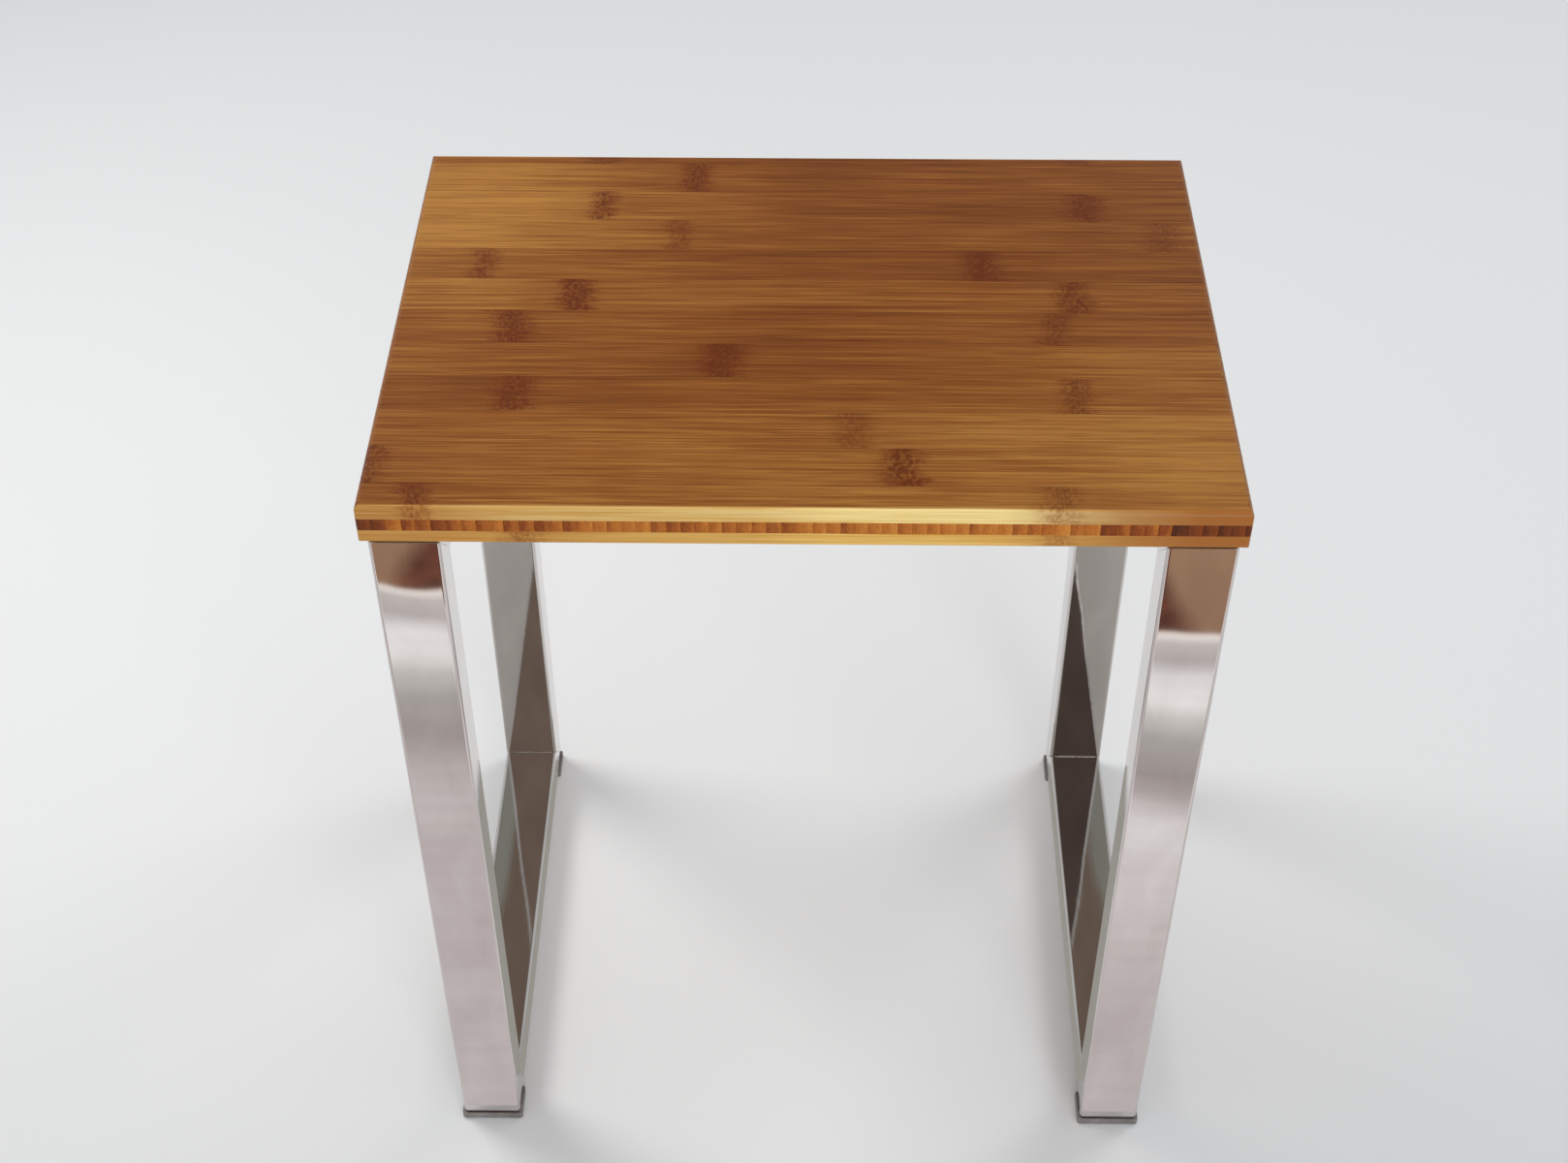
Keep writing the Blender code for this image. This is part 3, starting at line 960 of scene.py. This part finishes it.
def painted_reflection_tones(made, part):
    """The painted reflection before the stool, from near to far: dull, a grey band, a bright strip, a pale
    line, brown.
    """
    return made.ramp(
        part,
        (0.22, colour(182, 176, 177)),
        (0.32, colour(179, 172, 173)),
        (0.43, colour(180, 173, 174)),
        (0.485, colour(189, 185, 185)),
        (0.525, colour(178, 172, 172)),
        (0.56, colour(153, 146, 145)),
        (0.605, colour(162, 160, 158)),
        (0.635, colour(193, 191, 188)),
        (0.655, colour(223, 222, 222)),
        (0.685, colour(217, 217, 217)),
        (0.706, colour(174, 168, 168)),
        (0.728, colour(188, 182, 181)),
        (0.737, colour(240, 236, 232)),
        (0.741, colour(138, 108, 86)),
        (0.90, colour(150, 120, 96)),
    )


def inner_blotches(made, place, across, distance, base):
    """Dark red-brown blotches in the inner part of the brown, in the painted reflection."""
    reach = made.math("ABSOLUTE", made.math("ADD", across, 0.010))
    inner = made.ramp(made.math("MULTIPLY_ADD", distance, 0.30, reach), (0.410, 1.0), (0.428, 0.0))
    beyond = made.math("GREATER_THAN", distance, 0.742 * CARD_SCALE)
    patches = made.noise(place, (22, 30, 1), 3.0, 8.0)
    blotches = made.ramp(patches, (0.35, colour(70, 44, 38)), (0.65, colour(112, 70, 56)))
    return made.mix(made.math("MULTIPLY", inner, beyond), base, blotches)


def floor_reflection():
    """What lies before the stool, for its front legs to mirror."""
    made = glowing("floor_reflection", 1.5)
    place = made.place()
    across, away, _ = made.split(place)
    ripples = made.noise(place, (10, 95, 1), 2.0, 3.0)
    bend = made.noise(place, (9, 3, 1), 1.0, 6.0)
    distance = made.math("MULTIPLY_ADD", across, 0.0775, made.math("MULTIPLY", away, -1.0))
    distance = made.varied(distance, bend, 0.030)
    part = made.math("DIVIDE", distance, CARD_SCALE)
    base = painted_reflection_tones(made, part)
    glow = made.ramp(part, (0.31, 0.0), (0.45, 0.65), (0.50, 0.85), (0.535, 0.0))
    glow = made.math("MULTIPLY", glow, made.math("GREATER_THAN", across, 0.0))
    base = made.mix(glow, base, colour(212, 210, 210))
    lines = made.math("MULTIPLY", made.ramp(ripples, (0.42, 0.0), (0.62, 1.0)), 0.07)
    base = made.mix(lines, base, colour(120, 110, 108))
    base = inner_blotches(made, place, across, distance, base)
    made.links.new(base, made.shader.inputs["Emission Color"])
    return made.material


def beside_reflection(name):
    """A painted reflection of the floor beside a frame, for its rear leg to mirror: dull near the rail as
    painted shadow, fading to the plain floor.
    """
    made = glowing(name)
    across = made.math("ABSOLUTE", made.split(made.place())[0])
    part = made.math("DIVIDE", across, BESIDE_REACH)
    dull, middling, plain = colour(160, 158, 152), colour(176, 174, 169), colour(222, 221, 220)
    # painted shadow: the grey near the rail
    base = made.ramp(part, (0.44, dull), (0.62, middling), (0.98, plain))
    made.links.new(base, made.shader.inputs["Emission Color"])
    return made.material


def level_corners(left, right, front, back, height):
    """The corners of a level card."""
    return [(left, front, height), (right, front, height), (right, back, height), (left, back, height)]


def upright_corners(x_low, x_high, y, low, high):
    """The corners of an upright card. Each of x_low and x_high is its left and right at that height."""
    return [(x_low[0], y, low), (x_low[1], y, low), (x_high[1], y, high), (x_high[0], y, high)]


def add_cards():
    """Glowing cards, as painted reflections, on the floor in front and beside the frames, and upright behind
    and in front of the stool.
    """
    add_card("near_card", level_corners(-1.2, 1.2, CARD_FRONT, -1.6, 0.003), floor_reflection())
    grey = plain_card("grey_card", colour(134, 136, 128))
    dark = plain_card("dark_card", colour(112, 98, 87))
    add_card("grey_card", upright_corners((-0.42, 0.42), (-0.92, 0.92), 1.6, 1.2, 2.9), grey)
    add_card("dark_card", upright_corners((-0.34, 0.34), (-0.68, 0.68), 1.59, 1.2, 2.9), dark)
    for side, way, shade in zip(SIDES, (-1, 1), (colour(136, 122, 111), colour(92, 81, 75))):
        beside = level_corners(way * 0.10, way * BESIDE_REACH, -0.105, 0.125, 0.002)
        add_card(f"{side}_beside_card", beside, beside_reflection(f"{side}_beside_reflection"))
        half = (0, way * 0.6)
        name = f"{side}_front_card"
        add_card(name, upright_corners(half, half, -1.2, 0.7, 2.2), plain_card(name, shade))


def add_light(name, place, target, size, watts, tint, mirrored):
    light = bpy.data.lights.new(name, "AREA")
    light.shape = "DISK"
    light.size = size
    light.energy = watts
    light.color = tint
    made = bpy.data.objects.new(name, light)
    bpy.context.scene.collection.objects.link(made)
    made.location = place
    made.visible_glossy = mirrored
    aim = Vector(target) - Vector(place)
    made.rotation_euler = aim.to_track_quat("-Z", "Y").to_euler()


def add_studio():
    world = bpy.data.worlds.new("studio")
    world.use_nodes = True
    background = world.node_tree.nodes["Background"]
    background.inputs["Color"].default_value = (0.93, 0.95, 0.96, 1.0)
    background.inputs["Strength"].default_value = 0.56
    bpy.context.scene.world = world
    bpy.context.scene.view_settings.view_transform = "Standard"
    floor = level_corners(-FLOOR_REACH, FLOOR_REACH, -FLOOR_REACH, FLOOR_REACH, 0)
    add_flat("floor", floor, floor_surface())
    for light in LIGHTS:
        add_light(*light)
    add_cards()


# The lowest and highest corner of the whole board
board = box_of(*(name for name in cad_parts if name.startswith("seat_")))
add_camera()
add_board()
steel, weld = polished_steel(), weld_steel()
fastener_steel, plastic, foam = screw_steel(), foot_plastic(), foot_foam()
for side in SIDES:
    add_frame(side, steel, weld)
    add_fasteners(side, fastener_steel)
    add_feet(side, plastic, foam)
add_studio()
